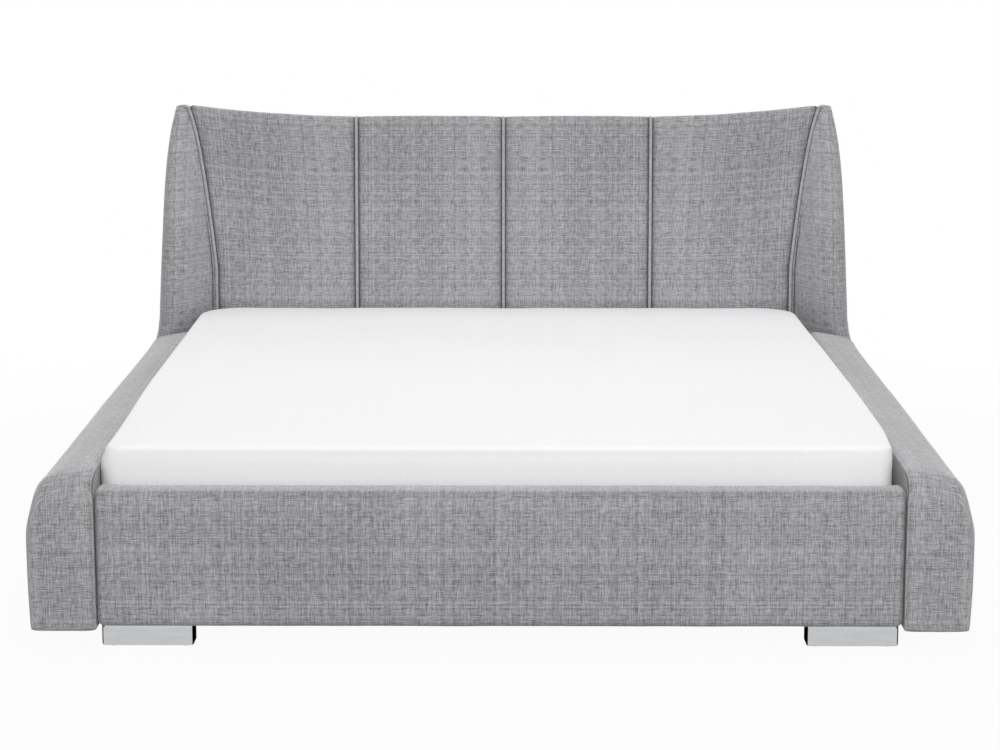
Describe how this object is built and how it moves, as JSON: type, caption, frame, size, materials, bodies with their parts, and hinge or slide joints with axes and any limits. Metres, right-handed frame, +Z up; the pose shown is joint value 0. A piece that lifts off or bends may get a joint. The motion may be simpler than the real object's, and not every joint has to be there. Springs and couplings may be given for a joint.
{
  "type": "waterbed",
  "caption": "Upholstered waterbed with a channelled headboard whose wings run up to points, broad sloping side rails, a low footboard on metal feet and a soft-sided water mattress.",
  "frame": {"origin": "on the floor, under the middle of the bed's bounding box", "axes": "+X towards the right-hand rail seen from the foot end, +Y from the foot end to the headboard, +Z up"},
  "size_m": [2.122, 2.225, 1.0616],
  "materials": {
    "grey_linen": "matte",
    "grey_piping": "matte",
    "white_quilt": "matte",
    "white_base_cloth": "matte",
    "polished_steel": "polished",
    "zinc_steel": "satin",
    "chipboard": "matte",
    "plywood": "matte",
    "black_laminate": "satin",
    "bolster_foam": "matte",
    "blue_vinyl": "satin",
    "liner_vinyl": "satin",
    "heater_vinyl": "satin",
    "cap_plastic": "satin",
    "glide_plastic": "satin"
  },
  "bodies": {
    "bed": {"headboard_pad_left_outer": "grey_linen", "headboard_pad_left_inner": "grey_linen", "headboard_pad_right_inner": "grey_linen", "headboard_pad_right_outer": "grey_linen", "headboard_wing_left": "grey_linen", "headboard_wing_right": "grey_linen", "headboard_back_cover": "grey_linen", "rail_cover_left": "grey_linen", "rail_cover_right": "grey_linen", "footboard_cover": "grey_linen", "piping_left_curved": "grey_piping", "piping_left": "grey_piping", "piping_centre": "grey_piping", "piping_right": "grey_piping", "piping_right_curved": "grey_piping", "mattress_bottom_cover": "white_base_cloth", "front_foot_left": "polished_steel", "front_foot_right": "polished_steel", "corner_bracket_left": "zinc_steel", "corner_bracket_right": "zinc_steel", "head_plate_left": "zinc_steel", "head_plate_right": "zinc_steel", "headboard_bottom_rail": "chipboard", "headboard_top_rail": "chipboard", "headboard_stile_left": "chipboard", "headboard_stile_right": "chipboard", "rail_board_left": "chipboard", "rail_board_right": "chipboard", "footboard_board": "chipboard", "deck_left": "chipboard", "deck_right": "chipboard", "headboard_face_board": "plywood", "wing_board_left": "plywood", "wing_board_right": "plywood", "rear_foot_left": "black_laminate", "rear_foot_right": "black_laminate", "pedestal_side_left": "black_laminate", "pedestal_side_right": "black_laminate", "pedestal_end_foot": "black_laminate", "pedestal_cross_board": "black_laminate", "pedestal_end_head": "black_laminate", "bolster_left": "bolster_foam", "bolster_right": "bolster_foam", "bolster_foot": "bolster_foam", "bolster_head": "bolster_foam", "water_divider": "bolster_foam", "water_bladder_left": "blue_vinyl", "water_bladder_right": "blue_vinyl", "safety_liner": "liner_vinyl", "heater_left": "heater_vinyl", "heater_right": "heater_vinyl", "glide_left_outer": "glide_plastic", "glide_left_inner": "glide_plastic", "glide_right_inner": "glide_plastic", "glide_right_outer": "glide_plastic"},
    "top_cover": {"mattress_top_cover": "white_quilt"},
    "left_zip_slider": {"zip_slider_left": "zinc_steel"},
    "right_zip_slider": {"zip_slider_right": "zinc_steel"},
    "left_valve_cap": {"valve_cap_left": "cap_plastic"},
    "right_valve_cap": {"valve_cap_right": "cap_plastic"}
  },
  "joints": [
    {"name": "top_cover_lift", "type": "slide", "parent": "bed", "child": "top_cover", "axis": [0, 0, 1], "range_m": [0, 0.35]},
    {"name": "zip_slider_left_run", "type": "slide", "parent": "bed", "child": "left_zip_slider", "axis": [0, 1, 0], "range_m": [-1.6, 0]},
    {"name": "zip_slider_right_run", "type": "slide", "parent": "bed", "child": "right_zip_slider", "axis": [0, 1, 0], "range_m": [-1.6, 0]},
    {"name": "valve_cap_left_turn", "type": "hinge", "parent": "bed", "child": "left_valve_cap", "pos_m": [-0.4079, -0.7683, 0.404], "axis": [0, 0, 1], "range_deg": [0, 540]},
    {"name": "valve_cap_right_turn", "type": "hinge", "parent": "bed", "child": "right_valve_cap", "pos_m": [0.4079, -0.7683, 0.404], "axis": [0, 0, 1], "range_deg": [0, 540]}
  ]
}
